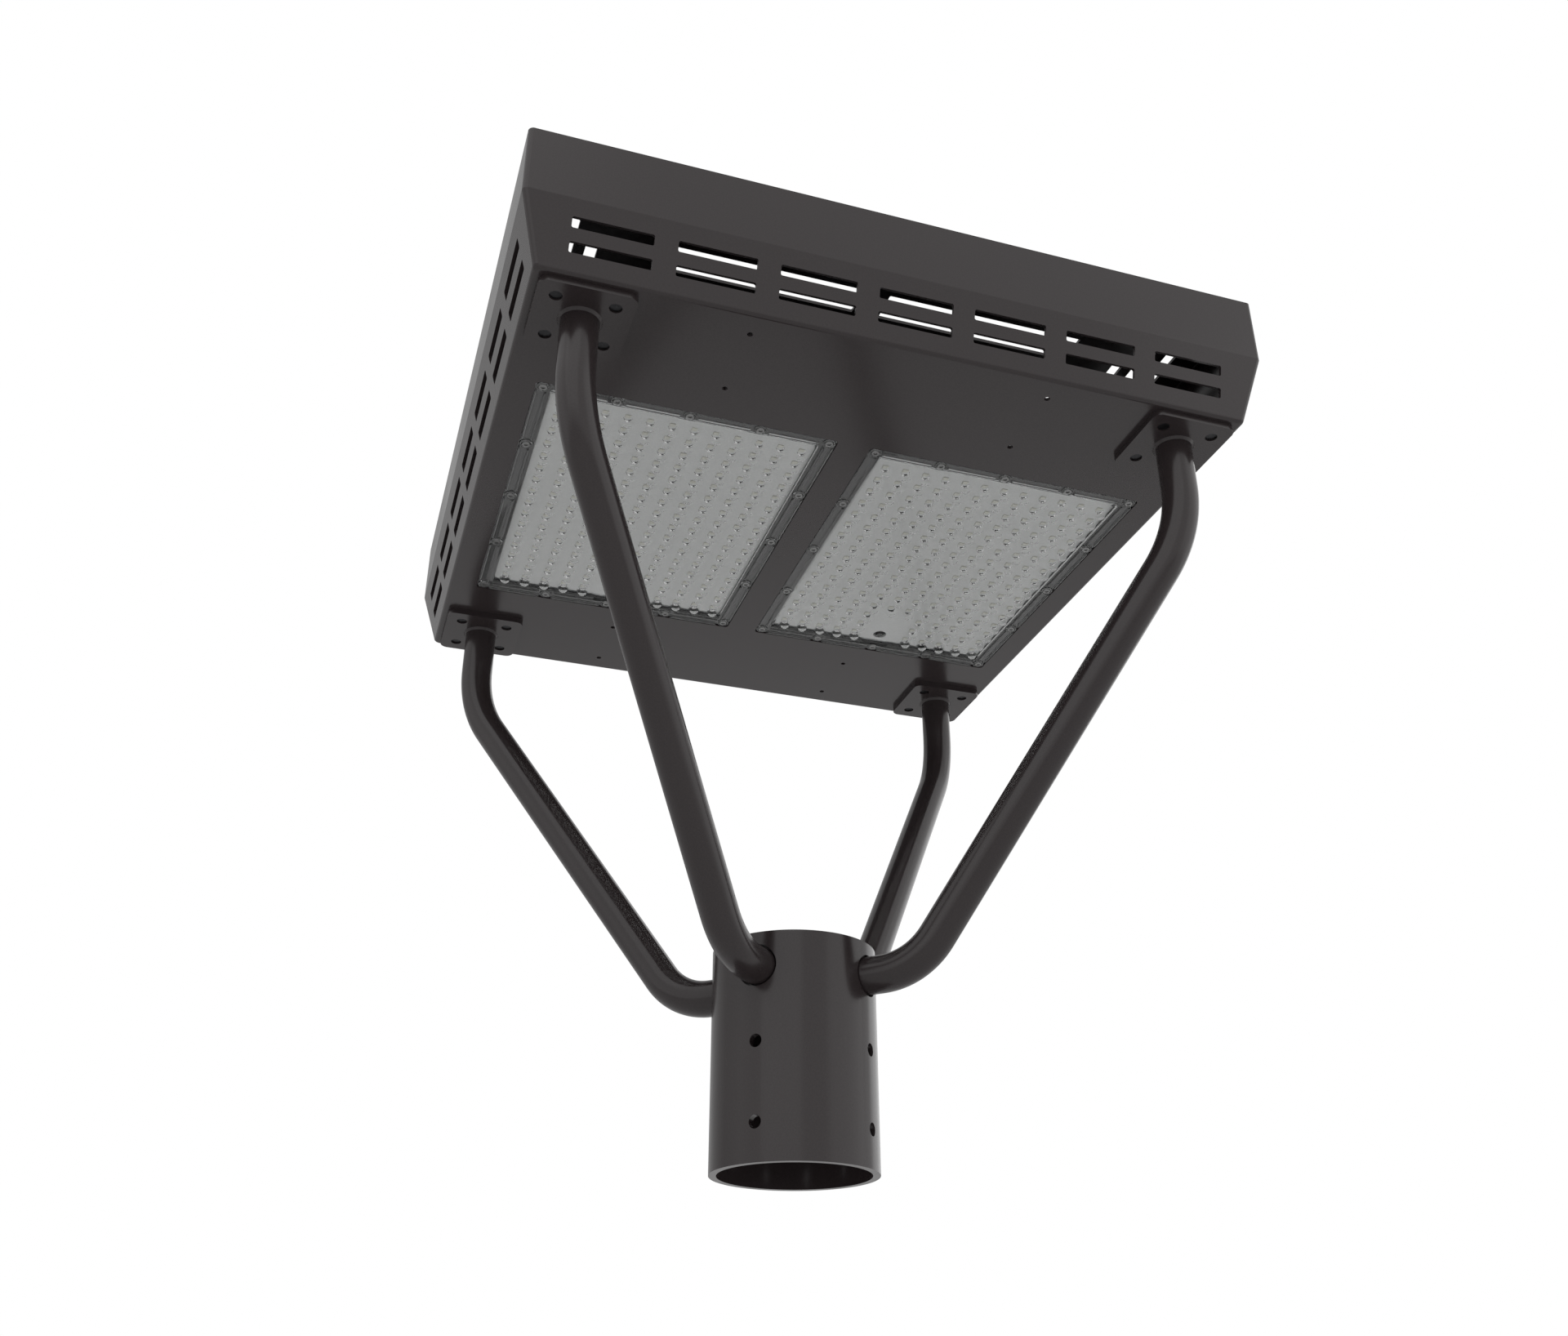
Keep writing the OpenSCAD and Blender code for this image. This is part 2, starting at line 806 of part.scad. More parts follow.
module gasket(side) {
    color("black")
        at_module(side)
            translate([0, 0, rim_top])
                difference() {
                    ring_wall(module_w - 1, module_l - 1, rim_w - 1, gasket_t, 2);
                    on_each(boss_places)
                        translate([0, 0, -eps])
                            cylinder(d = lens_screw_d + 1, h = gasket_t + 2 * eps);
                }
}

module gasket_left() { gasket(-1); }
module gasket_right() { gasket(1); }

module led_board(side) {
    color("whitesmoke")
        at_module(side)
            translate([0, 0, board_z])
                difference() {
                    plate(board_w, board_l, board_t, window_corner);
                    translate([0, wire_hole_y, -eps])
                        cylinder(d = wire_hole_d, h = board_t + 2 * eps);
                }
}

module led_board_left() { led_board(-1); }
module led_board_right() { led_board(1); }

module led_chips(side) {
    color("khaki")
        at_module(side)
            on_each(lens_places)
                translate([-chip_w / 2, -chip_w / 2, board_z - chip_t])
                    cube([chip_w, chip_w, chip_t]);
}

module led_chips_left() { led_chips(-1); }
module led_chips_right() { led_chips(1); }

// Heat sink: a finned base with a seat for the lens rim and a pocket for the board
module heat_sink(side) {
    color("silver")
        at_module(side)
            difference() {
                union() {
                    translate([0, 0, sheet])
                        plate(sink_w, sink_l, sink_base, 2);
                    for (i = [0 : fin_count - 1])
                        translate([(i - (fin_count - 1) / 2) * fin_pitch, 0, sink_top + fin_h / 2])
                            cube([fin_t, fin_l, fin_h + 2 * eps], center = true);
                }
                translate([0, 0, -eps])
                    plate(module_w + seat_gap, module_l + seat_gap, board_z + eps, module_corner);
                plate(board_w + seat_gap, board_l + seat_gap, board_z + board_t, window_corner);
                translate([0, wire_hole_y, 0])
                    cylinder(d = lead_hole_d, h = sink_top + 2 * eps);
                on_each(boss_places)
                    cylinder(r = lens_screw_d / 2 + tap_fit, h = board_z + lens_screw_bite + 0.5);
                for (step = [-1 : 1], end = [-1, 1])
                    translate([step * stud_x, end * (module_l / 2 + stud_inset), 0])
                        cylinder(d = sink_hole_d, h = sink_top + 2 * eps);
            }
}

module heat_sink_left() { heat_sink(-1); }
module heat_sink_right() { heat_sink(1); }

// Driver tray and the electrical parts that it carries

module on_tray(x, y) {
    translate([x, y, tray_z + tray_t])
        children();
}

module ear_places() {
    on_each([for (end = [-1, 1]) [0, end * (driver_l - ear_l) / 2]])
        children();
}

module driver_tray() {
    foot_w = tray_w - 2 * tray_edge;
    color("silver")
        difference() {
            union() {
                translate([-tray_w / 2, -tray_leg_y, tray_z])
                    cube([tray_w, 2 * tray_leg_y, tray_t]);
                for (end = [0, 180])
                    rotate([0, 0, end])
                        translate([-foot_w / 2, -tray_leg_y, pan_z + sheet]) {
                            cube([foot_w, tray_t, tray_z + tray_t - pan_z - sheet]);
                            translate([0, -tray_foot, 0])
                                cube([foot_w, tray_foot + tray_t, tray_t]);
                        }
            }
            on_four_corners(tray_stud_x, tray_leg_y + tray_foot / 2)
                translate([0, 0, pan_z])
                    cylinder(d = sink_hole_d, h = 3 * sheet);
            for (side = [-1, 1])
                on_tray(side * driver_x, driver_y)
                    ear_places()
                        translate([0, 0, -2 * tray_t])
                            cylinder(r = driver_screw_d / 2 + tap_fit, h = 3 * tray_t);
        }
}

// A grooved extruded case with an ear at each end, and a gland where the lead leaves
module driver(side) {
    case_l = driver_l - 2 * ear_l;
    groove_w = 3;
    groove_t = 1.2;
    color("lightgray")
        on_tray(side * driver_x, driver_y)
            difference() {
                union() {
                    rotate([90, 0, 0])
                        linear_extrude(case_l, center = true)
                            difference() {
                                translate([0, driver_h / 2])
                                    rounded_rect(driver_w, driver_h, groove_w);
                                for (step = [-3 : 3])
                                    translate([step * driver_w / 8, driver_h])
                                        square([groove_w, 2 * groove_t], center = true);
                            }
                    plate(driver_w - 2 * ear_inset, driver_l, ear_t, 3);
                    translate([0, case_l / 2 - eps, lead_z])
                        rotate([-90, 0, 0])
                            cylinder(d = gland_d, h = gland_l);
                }
                ear_places()
                    translate([0, 0, -eps])
                        cylinder(d = driver_screw_d + 0.6, h = ear_t + 2 * eps);
                translate([0, case_l / 2 + gland_l - gland_bite, lead_z])
                    rotate([-90, 0, 0])
                        cylinder(r = lead_d / 2 + arm_fit, h = ear_l);
            }
}

module driver_left() { driver(-1); }
module driver_right() { driver(1); }

module driver_screws() {
    color("silver")
        for (side = [-1, 1])
            on_tray(side * driver_x, driver_y)
                ear_places()
                    translate([0, 0, ear_t])
                        rotate([180, 0, 0])
                            pan_screw(
                                driver_screw_d,
                                ear_t + tray_t + 2,
                                driver_screw_head_d,
                                driver_screw_head_h
                            );
}

module terminal_block() {
    way_w = block_w / block_ways;
    screw_way_d = 5;
    wire_way = 4.6;
    color("whitesmoke")
        on_tray(0, block_y)
            difference() {
                translate([-block_w / 2, -block_l / 2, 0])
                    cube([block_w, block_l, block_h]);
                for (i = [0 : block_ways - 1])
                    translate([(i - (block_ways - 1) / 2) * way_w, 0, block_h - 6]) {
                        cylinder(d = screw_way_d, h = 7);
                        translate([0, 0, -5])
                            rotate([90, 0, 0])
                                cylinder(d = wire_way, h = block_l + 2, center = true);
                    }
            }
}

// A potted block on a flat mounting foot
module surge_protector() {
    foot_t = 2.5;
    color("slategray")
        on_tray(0, surge_y) {
            plate(56, surge_l, foot_t, 3);
            translate([0, 0, foot_t - eps])
                plate(40, surge_l, 24, 3);
        }
}

// Lead from a driver to the board below it: level, round two bends, then down between two fins
module module_lead(side) {
    across = module_pitch / 2 - driver_x - 2 * lead_bend;
    drop = tray_z + tray_t + lead_z - lead_bend - pan_z - board_z + lead_end;
    color("white")
        on_tray(side * driver_x, lead_start_y)
            mirror([side < 0 ? 1 : 0, 0, 0])
                translate([0, 0, lead_z]) {
                    rotate([-90, 0, 0])
                        cylinder(d = lead_d, h = lead_run);
                    translate([lead_bend, lead_run, 0])
                        rotate([0, 0, 90])
                            rotate_extrude(angle = 90)
                                translate([lead_bend, 0])
                                    circle(d = lead_d);
                    translate([lead_bend, lead_run + lead_bend, 0])
                        rotate([0, 90, 0])
                            cylinder(d = lead_d, h = across);
                    translate([lead_bend + across, lead_run + lead_bend, -lead_bend])
                        rotate([90, 0, 0])
                            rotate_extrude(angle = 90)
                                translate([lead_bend, 0])
                                    circle(d = lead_d);
                    translate([2 * lead_bend + across, lead_run + lead_bend, -lead_bend - drop])
                        cylinder(d = lead_d, h = drop);
                }
}

module module_lead_left() { module_lead(-1); }
module module_lead_right() { module_lead(1); }

post_sleeve();
arm_hub();
arm_front_left();
arm_front_right();
arm_rear_left();
arm_rear_right();
flange_front_left();
flange_front_right();
flange_rear_left();
flange_rear_right();
flange_bolts();
housing_shell();
weld_studs();
top_cover();
cover_lugs();
cover_screws();
lens_plate_left();
lens_plate_right();
lens_screws_left();
lens_screws_right();
gasket_left();
gasket_right();
led_board_left();
led_board_right();
led_chips_left();
led_chips_right();
heat_sink_left();
heat_sink_right();
inner_nuts();
driver_tray();
driver_left();
driver_right();
driver_screws();
terminal_block();
surge_protector();
module_lead_left();
module_lead_right();
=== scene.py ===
import bmesh
import bpy
import math
from mathutils import Matrix, Vector


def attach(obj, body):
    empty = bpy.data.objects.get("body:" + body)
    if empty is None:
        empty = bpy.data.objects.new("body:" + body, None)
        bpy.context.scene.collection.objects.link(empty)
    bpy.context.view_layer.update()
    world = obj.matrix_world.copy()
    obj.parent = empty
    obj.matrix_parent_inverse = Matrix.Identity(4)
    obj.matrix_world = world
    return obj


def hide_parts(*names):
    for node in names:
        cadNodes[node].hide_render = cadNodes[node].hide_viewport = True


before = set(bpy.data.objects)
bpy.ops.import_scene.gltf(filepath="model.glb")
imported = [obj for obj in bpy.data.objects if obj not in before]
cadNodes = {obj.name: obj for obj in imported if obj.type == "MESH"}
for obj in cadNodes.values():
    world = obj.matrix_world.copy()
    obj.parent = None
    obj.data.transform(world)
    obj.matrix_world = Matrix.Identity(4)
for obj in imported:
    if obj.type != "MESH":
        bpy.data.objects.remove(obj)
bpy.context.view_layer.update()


weldGap = 0.00001        # metres, vertices closer than this are one
levelGap = 0.00002       # metres, how near a face lies to the level that it is picked by
ringGap = 0.00005        # metres, the same for a ring's radius


def mm(value):
    return value / 1000


# Modelling helpers

def clearSelection():
    if bpy.context.mode != "OBJECT":
        bpy.ops.object.mode_set(mode="OBJECT")
    bpy.ops.object.select_all(action="DESELECT")


def makeActive(piece):
    clearSelection()
    piece.select_set(True)
    bpy.context.view_layer.objects.active = piece


def editMesh(piece, kind="VERT"):
    makeActive(piece)
    bpy.ops.object.mode_set(mode="EDIT")
    bpy.ops.mesh.select_mode(type=kind)
    bpy.ops.mesh.select_all(action="DESELECT")
    return bmesh.from_edit_mesh(piece.data)


def selectFaces(piece, test):
    shape = editMesh(piece, "FACE")
    for face in shape.faces:
        face.select_set(test(face.calc_center_median(), face.normal))
    bmesh.update_edit_mesh(piece.data)


def selectEdges(piece, test):
    shape = editMesh(piece, "EDGE")
    for edge in shape.edges:
        edge.select_set(test(edge.verts[0].co, edge.verts[1].co))
    bmesh.update_edit_mesh(piece.data)


def addModifier(piece, kind, **settings):
    makeActive(piece)
    modifier = piece.modifiers.new(kind.lower(), kind)
    for setting, value in settings.items():
        setattr(modifier, setting, value)
    bpy.ops.object.modifier_apply(modifier=modifier.name)


def settle(piece):
    makeActive(piece)
    bpy.ops.object.transform_apply(location=True, rotation=True, scale=True)


def copyPiece(piece, name):
    twin = piece.copy()
    twin.data = piece.data.copy()
    twin.name = name
    twin.data.name = name
    bpy.context.scene.collection.objects.link(twin)
    return twin


def joinPieces(pieces, name):
    clearSelection()
    for piece in pieces:
        piece.select_set(True)
    bpy.context.view_layer.objects.active = pieces[0]
    bpy.ops.object.join()
    pieces[0].name = name
    pieces[0].data.name = name
    return pieces[0]


def cutWith(piece, cutters, work="DIFFERENCE"):
    cutter = joinPieces(cutters, "cutter") if len(cutters) > 1 else cutters[0]
    settle(cutter)
    addModifier(piece, "BOOLEAN", operation=work, solver="EXACT", object=cutter)
    bpy.data.objects.remove(cutter)


def turnAbout(piece, degrees):
    piece.data.transform(Matrix.Rotation(math.radians(degrees), 4, "Z"))


def giveFinish(piece, name, slot, replaced=()):
    piece.name = name
    piece.data.name = name
    piece.data.materials.clear()
    piece.data.materials.append(finishes[slot])
    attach(piece, "root")
    if replaced:
        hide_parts(*replaced)


# Camera: near the ground beside the post, looking up under the head

cameraSet = {
    "place": (-0.25738, -0.76375, -0.13568),
    "look": (0.27639, 0.83849, 0.46962),
    "lens": 35,
    "sensor": 36,
}


def placeCamera():
    lensData = bpy.data.cameras.new("camera")
    lensData.lens = cameraSet["lens"]
    lensData.sensor_width = cameraSet["sensor"]
    lensData.clip_start = 0.01
    camera = bpy.data.objects.new("camera", lensData)
    bpy.context.scene.collection.objects.link(camera)
    camera.location = cameraSet["place"]
    camera.rotation_euler = Vector(cameraSet["look"]).to_track_quat("-Z", "Y").to_euler()
    bpy.context.scene.camera = camera


# Stage: a pale floor below the sleeve, a white surround that reflects darker toward +Y, three soft lamps

stageSet = {
    "floorZ": -0.62,
    "floorSize": 14,
    "floorColour": (0.8, 0.8, 0.8, 1),
    "floorRough": 0.9,
    "floorShine": 0.1,
    "worldLevel": 0.65,
    "glossFront": 0.9,
    "glossBack": 0.48,
    "fadeFrom": 0.1,
    "fadeTo": 0.6,
    "lampAim": (0, 0, 0.25),
}

lampSet = {
    "key": {"place": (-1.6, -2.2, 1.9), "size": 3.4, "power": 11},
    "fill": {"place": (2.4, -1.5, 0.7), "size": 3.2, "power": 9},
    "back": {"place": (2.4, 1.9, 1.6), "size": 2.6, "power": 15},
}


def newNode(tree, kind, place=(0, 0)):
    node = tree.nodes.new(kind)
    node.location = place
    return node


def backgroundNode(tree, level, row):
    background = newNode(tree, "ShaderNodeBackground", (-450, row))
    background.inputs["Color"].default_value = (1, 1, 1, 1)
    background.inputs["Strength"].default_value = level
    return background


def surroundWorld():
    world = bpy.data.worlds.new("surround")
    bpy.context.scene.world = world
    world.use_nodes = True
    tree = world.node_tree
    tree.nodes.clear()
    path = newNode(tree, "ShaderNodeLightPath", (-900, 300))
    seen = newNode(tree, "ShaderNodeMath", (-650, 300))
    seen.operation = "MAXIMUM"
    lit = backgroundNode(tree, stageSet["worldLevel"], 0)
    gloss = backgroundNode(tree, 1, -150)
    white = backgroundNode(tree, 1, -300)
    heading = newNode(tree, "ShaderNodeTexCoord", (-1100, -150))
    split = newNode(tree, "ShaderNodeSeparateXYZ", (-900, -150))
    fade = newNode(tree, "ShaderNodeMapRange", (-650, -150))
    fade.inputs["From Min"].default_value = stageSet["fadeFrom"]
    fade.inputs["From Max"].default_value = stageSet["fadeTo"]
    fade.inputs["To Min"].default_value = stageSet["glossFront"]
    fade.inputs["To Max"].default_value = stageSet["glossBack"]
    tree.links.new(heading.outputs["Generated"], split.inputs["Vector"])
    tree.links.new(split.outputs["Y"], fade.inputs["Value"])
    tree.links.new(fade.outputs["Result"], gloss.inputs["Strength"])
    first = newNode(tree, "ShaderNodeMixShader", (-200, 0))
    second = newNode(tree, "ShaderNodeMixShader", (0, 0))
    out = newNode(tree, "ShaderNodeOutputWorld", (200, 0))
    tree.links.new(path.outputs["Is Camera Ray"], seen.inputs[0])
    tree.links.new(path.outputs["Is Transmission Ray"], seen.inputs[1])
    tree.links.new(path.outputs["Is Glossy Ray"], first.inputs[0])
    tree.links.new(lit.outputs[0], first.inputs[1])
    tree.links.new(gloss.outputs[0], first.inputs[2])
    tree.links.new(seen.outputs[0], second.inputs[0])
    tree.links.new(first.outputs[0], second.inputs[1])
    tree.links.new(white.outputs[0], second.inputs[2])
    tree.links.new(second.outputs[0], out.inputs["Surface"])


def layFloor():
    bpy.ops.mesh.primitive_plane_add(size=stageSet["floorSize"], location=(0, 0, stageSet["floorZ"]))
    floor = bpy.context.active_object
    floor.name = "floor"
    paint = bpy.data.materials.new("floor_paint")
    paint.use_nodes = True
    shader = paint.node_tree.nodes["Principled BSDF"]
    shader.inputs["Base Color"].default_value = stageSet["floorColour"]
    shader.inputs["Roughness"].default_value = stageSet["floorRough"]
    shader.inputs["Specular IOR Level"].default_value = stageSet["floorShine"]
    floor.data.materials.append(paint)


def hangLamps():
    for name, lamp in lampSet.items():
        lampData = bpy.data.lights.new(name + "_lamp", "AREA")
        lampData.size = lamp["size"]
        lampData.energy = lamp["power"]
        lampObject = bpy.data.objects.new(name + "_lamp", lampData)
        bpy.context.scene.collection.objects.link(lampObject)
        lampObject.location = lamp["place"]
        aim = Vector(stageSet["lampAim"]) - Vector(lamp["place"])
        lampObject.rotation_euler = aim.to_track_quat("-Z", "Y").to_euler()


bpy.ops.object.select_all(action="DESELECT")
placeCamera()
surroundWorld()
layFloor()
hangLamps()
bpy.context.scene.view_settings.view_transform = "Standard"
print("camera, floor and lamps are in place")


# Finishes

def startFinish(name):
    finish = bpy.data.materials.new(name)
    finish.use_nodes = True
    tree = finish.node_tree
    shader = tree.nodes["Principled BSDF"]
    place = newNode(tree, "ShaderNodeTexCoord", (-1200, 0))
    return finish, tree, shader, place.outputs["Object"]


def addNoise(tree, place, scale, detail, row):
    noise = newNode(tree, "ShaderNodeTexNoise", (-950, row))
    noise.inputs["Scale"].default_value = scale
    noise.inputs["Detail"].default_value = detail
    tree.links.new(place, noise.inputs["Vector"])
    return noise.outputs["Fac"]


def spread(tree, factor, low, high, row):
    spreadNode = newNode(tree, "ShaderNodeMapRange", (-700, row))
    spreadNode.inputs["From Min"].default_value = 0.3
    spreadNode.inputs["From Max"].default_value = 0.7
    spreadNode.inputs["To Min"].default_value = low
    spreadNode.inputs["To Max"].default_value = high
    tree.links.new(factor, spreadNode.inputs["Value"])
    return spreadNode.outputs["Result"]


def mottle(tree, shader, factor, first, second, row):
    ramp = newNode(tree, "ShaderNodeMix", (-450, row))
    ramp.data_type = "RGBA"
    ramp.inputs["A"].default_value = (*first, 1)
    ramp.inputs["B"].default_value = (*second, 1)
    tree.links.new(factor, ramp.inputs["Factor"])
    tree.links.new(ramp.outputs["Result"], shader.inputs["Base Color"])


def addBump(tree, shader, height, strength, depth, row):
    bump = newNode(tree, "ShaderNodeBump", (-250, row))
    bump.inputs["Strength"].default_value = strength
    bump.inputs["Distance"].default_value = depth
    tree.links.new(height, bump.inputs["Height"])
    tree.links.new(bump.outputs["Normal"], shader.inputs["Normal"])


coatSet = {
    "dark": (0.0262, 0.0204, 0.0210),
    "light": (0.0312, 0.0246, 0.0252),
    "roughLow": 0.17,
    "roughHigh": 0.23,
    "clouds": 9,
    "grain": 1400,
    "peel": 520,
    "peelStrength": 0.06,
    "peelDepth": 0.00003,
    "shine": 0.44,
}


def makeBronzeCoat():
    finish, tree, shader, place = startFinish("bronze_coat_finish")
    coat = coatSet
    clouds = addNoise(tree, place, coat["clouds"], 3, 300)
    grain = addNoise(tree, place, coat["grain"], 2, 0)
    peel = addNoise(tree, place, coat["peel"], 1, -300)
    mottle(tree, shader, spread(tree, grain, 0, 1, 300), coat["dark"], coat["light"], 300)
    rough = spread(tree, clouds, coat["roughLow"], coat["roughHigh"], 0)
    tree.links.new(rough, shader.inputs["Roughness"])
    addBump(tree, shader, peel, coat["peelStrength"], coat["peelDepth"], -300)
    shader.inputs["Specular IOR Level"].default_value = coat["shine"]
    return finish


metalSet = {
    "grain": 900,
    "bump": 0.15,
    "bumpDepth": 0.00005,
}


def makeMetal(name, dark, light, roughLow, roughHigh, brushed):
    finish, tree, shader, place = startFinish(name)
    stretch = newNode(tree, "ShaderNodeMapping", (-1080, -150))
    stretch.inputs["Scale"].default_value = brushed
    tree.links.new(place, stretch.inputs["Vector"])
    lines = addNoise(tree, stretch.outputs["Vector"], metalSet["grain"], 3, 0)
    mottle(tree, shader, spread(tree, lines, 0, 1, 300), dark, light, 300)
    tree.links.new(spread(tree, lines, roughLow, roughHigh, 0), shader.inputs["Roughness"])
    addBump(tree, shader, lines, metalSet["bump"], metalSet["bumpDepth"], -300)
    shader.inputs["Metallic"].default_value = 1
    return finish


plasticSet = {
    "grain": 1100,
    "bump": 0.15,
    "bumpDepth": 0.00004,
}


def makePlastic(name, dark, light, roughLow, roughHigh):
    finish, tree, shader, place = startFinish(name)
    speck = addNoise(tree, place, plasticSet["grain"], 2, 0)
    mottle(tree, shader, spread(tree, speck, 0, 1, 300), dark, light, 300)
    tree.links.new(spread(tree, speck, roughLow, roughHigh, 0), shader.inputs["Roughness"])
    addBump(tree, shader, speck, plasticSet["bump"], plasticSet["bumpDepth"], -300)
    return finish


clearSet = {
    "colour": (0.97, 0.975, 0.97, 1),
    "haze": 60,
    "hazeLow": 0.015,
    "hazeHigh": 0.05,
    "rimThrough": 0.91,
    "rimIndex": 1.49,
    "lensThrough": 1,
    "lensIndex": 1.1,        # low, so that the boards still read through the lenses
}


def makeClear(name, through, index):
    finish, tree, shader, place = startFinish(name)
    haze = addNoise(tree, place, clearSet["haze"], 2, 0)
    rough = spread(tree, haze, clearSet["hazeLow"], clearSet["hazeHigh"], 0)
    tree.links.new(rough, shader.inputs["Roughness"])
    shader.inputs["Base Color"].default_value = clearSet["colour"]
    shader.inputs["Transmission Weight"].default_value = through
    shader.inputs["IOR"].default_value = index
    return finish


# Dark and light colour, low and high roughness, and for a metal how its grain is stretched

metals = {
    "black_bolt": ((0.03, 0.03, 0.032), (0.05, 0.05, 0.052), 0.3, 0.45, (1, 1, 1)),
    "bright_steel": ((0.2, 0.2, 0.2), (0.3, 0.3, 0.295), 0.26, 0.4, (1, 1, 1)),
    "bare_aluminium": ((0.55, 0.56, 0.57), (0.7, 0.71, 0.72), 0.3, 0.42, (1, 0.04, 1)),
}
plastics = {
    "black_rubber": ((0.018, 0.018, 0.018), (0.028, 0.028, 0.028), 0.55, 0.7),
    "white_board": ((0.68, 0.685, 0.685), (0.76, 0.765, 0.765), 0.35, 0.5),
    "led_chip": ((0.66, 0.655, 0.6), (0.72, 0.715, 0.66), 0.3, 0.4),
    "driver_case": ((0.6, 0.61, 0.62), (0.68, 0.69, 0.7), 0.4, 0.5),
    "terminal_plastic": ((0.74, 0.74, 0.71), (0.8, 0.8, 0.77), 0.4, 0.5),
    "surge_plastic": ((0.1, 0.12, 0.15), (0.14, 0.16, 0.19), 0.4, 0.5),
    # the lead sleeving is given a near-black colour as painted shade: it stands in for the shade inside the
    # wire hole
    "lead_sleeve": ((0.03, 0.03, 0.03), (0.045, 0.045, 0.045), 0.25, 0.35),
}

lensFinish = makeClear("clear_lens_finish", clearSet["lensThrough"], clearSet["lensIndex"])
finishes = {
    "bronze_coat": makeBronzeCoat(),
    "clear_plastic": makeClear("clear_plastic_finish", clearSet["rimThrough"], clearSet["rimIndex"]),
}
for slotName, look in metals.items():
    finishes[slotName] = makeMetal(slotName + "_finish", *look)
for slotName, look in plastics.items():
    finishes[slotName] = makePlastic(slotName + "_finish", *look)

slotNodes = {
    "bronze_coat": [
        "post_sleeve", "arm_hub", "arm_front_left", "arm_front_right", "arm_rear_left", "arm_rear_right",
        "flange_front_left", "flange_front_right", "flange_rear_left", "flange_rear_right",
        "housing_shell", "top_cover", "cover_lugs",
    ],
    "black_bolt": ["flange_bolts"],
    "bright_steel": [
        "cover_screws", "lens_screws_left", "lens_screws_right", "inner_nuts", "driver_screws", "weld_studs",
    ],
    "clear_plastic": ["lens_plate_left", "lens_plate_right"],
    "black_rubber": ["gasket_left", "gasket_right"],
    "white_board": ["led_board_left", "led_board_right"],
    "led_chip": ["led_chips_left", "led_chips_right"],
    "bare_aluminium": ["heat_sink_left", "heat_sink_right", "driver_tray"],
    "driver_case": ["driver_left", "driver_right"],
    "terminal_plastic": ["terminal_block"],
    "surge_plastic": ["surge_protector"],
    # the leads carry the near-black colour that is painted shade for the wire holes
    "lead_sleeve": ["module_lead_left", "module_lead_right"],
}

for slotName, nodeNames in slotNodes.items():
    for nodeName in nodeNames:
        mesh = cadNodes[nodeName].data
        if len(mesh.materials) == 0:
            mesh.materials.append(finishes[slotName])
        for index in range(len(mesh.materials)):
            mesh.materials[index] = finishes[slotName]
print("finishes are on the frame")


# Arms: a circle drawn along the bent tube, then given its wall

armSet = {
    "tube": 10,
    "wall": 2,
    "seat": 17,
    "height": 98.5,
    "kneeAt": 71.5,
    "kneeBend": 40,
    "shoulderAt": 239.002,
    "shoulderZ": 320.8,
    "shoulderBend": 80,
    "top": 379.3,
}
azimuths = {"front_left": 225, "front_right": 315, "rear_left": 135, "rear_right": 45}


def bendArm():
    arm = armSet
    slope = math.atan2(arm["shoulderZ"] - arm["height"], arm["shoulderAt"] - arm["kneeAt"])
    kneeTangent = arm["kneeBend"] * math.tan(slope / 2)
    shoulderTurn = math.pi / 2 - slope
    shoulderTangent = arm["shoulderBend"] * math.tan(shoulderTurn / 2)
    straight = math.dist((arm["kneeAt"], arm["height"]), (arm["shoulderAt"], arm["shoulderZ"]))
    straight = straight - kneeTangent - shoulderTangent
    along = Vector((math.cos(slope), 0, math.sin(slope)))
    kneeStart = arm["kneeAt"] - kneeTangent
    shoulderEnd = arm["shoulderZ"] + shoulderTangent
    bpy.ops.mesh.primitive_circle_add(
        vertices=48, radius=mm(arm["tube"]),
        location=(mm(arm["seat"]), 0, mm(arm["height"])), rotation=(0, math.pi / 2, 0),
    )
    tube = bpy.context.active_object
    settle(tube)
    bpy.ops.object.mode_set(mode="EDIT")
    bpy.ops.mesh.select_all(action="SELECT")
    bpy.ops.mesh.extrude_edges_move(TRANSFORM_OT_translate={"value": (mm(kneeStart - arm["seat"]), 0, 0)})
    bpy.ops.mesh.spin(
        steps=16, angle=slope, center=(mm(kneeStart), 0, mm(arm["height"] + arm["kneeBend"])), axis=(0, 1, 0)
    )
    bpy.ops.mesh.extrude_edges_move(TRANSFORM_OT_translate={"value": along * mm(straight)})
    bpy.ops.mesh.spin(
        steps=16, angle=shoulderTurn, axis=(0, 1, 0),
        center=(mm(arm["shoulderAt"] - arm["shoulderBend"]), 0, mm(shoulderEnd)),
    )
    bpy.ops.mesh.extrude_edges_move(TRANSFORM_OT_translate={"value": (0, 0, mm(arm["top"] - shoulderEnd))})
    bpy.ops.mesh.select_all(action="SELECT")
    bpy.ops.mesh.remove_doubles(threshold=weldGap)
    bpy.ops.mesh.normals_make_consistent(inside=False)
    bpy.ops.object.mode_set(mode="OBJECT")
    addModifier(tube, "SOLIDIFY", thickness=mm(arm["wall"]), offset=-1)
    bpy.ops.object.shade_smooth_by_angle(angle=math.radians(40))
    return tube


firstArm = bendArm()
for side, azimuth in azimuths.items():
    arm = copyPiece(firstArm, "tube_" + side)
    turnAbout(arm, azimuth)
    giveFinish(arm, "tube_" + side, "bronze_coat", ["arm_" + side])
bpy.data.objects.remove(firstArm)
print("four bent tubes are on")


# Lens plates: one lens cell modelled and repeated over the window, then the ribbed rim round it

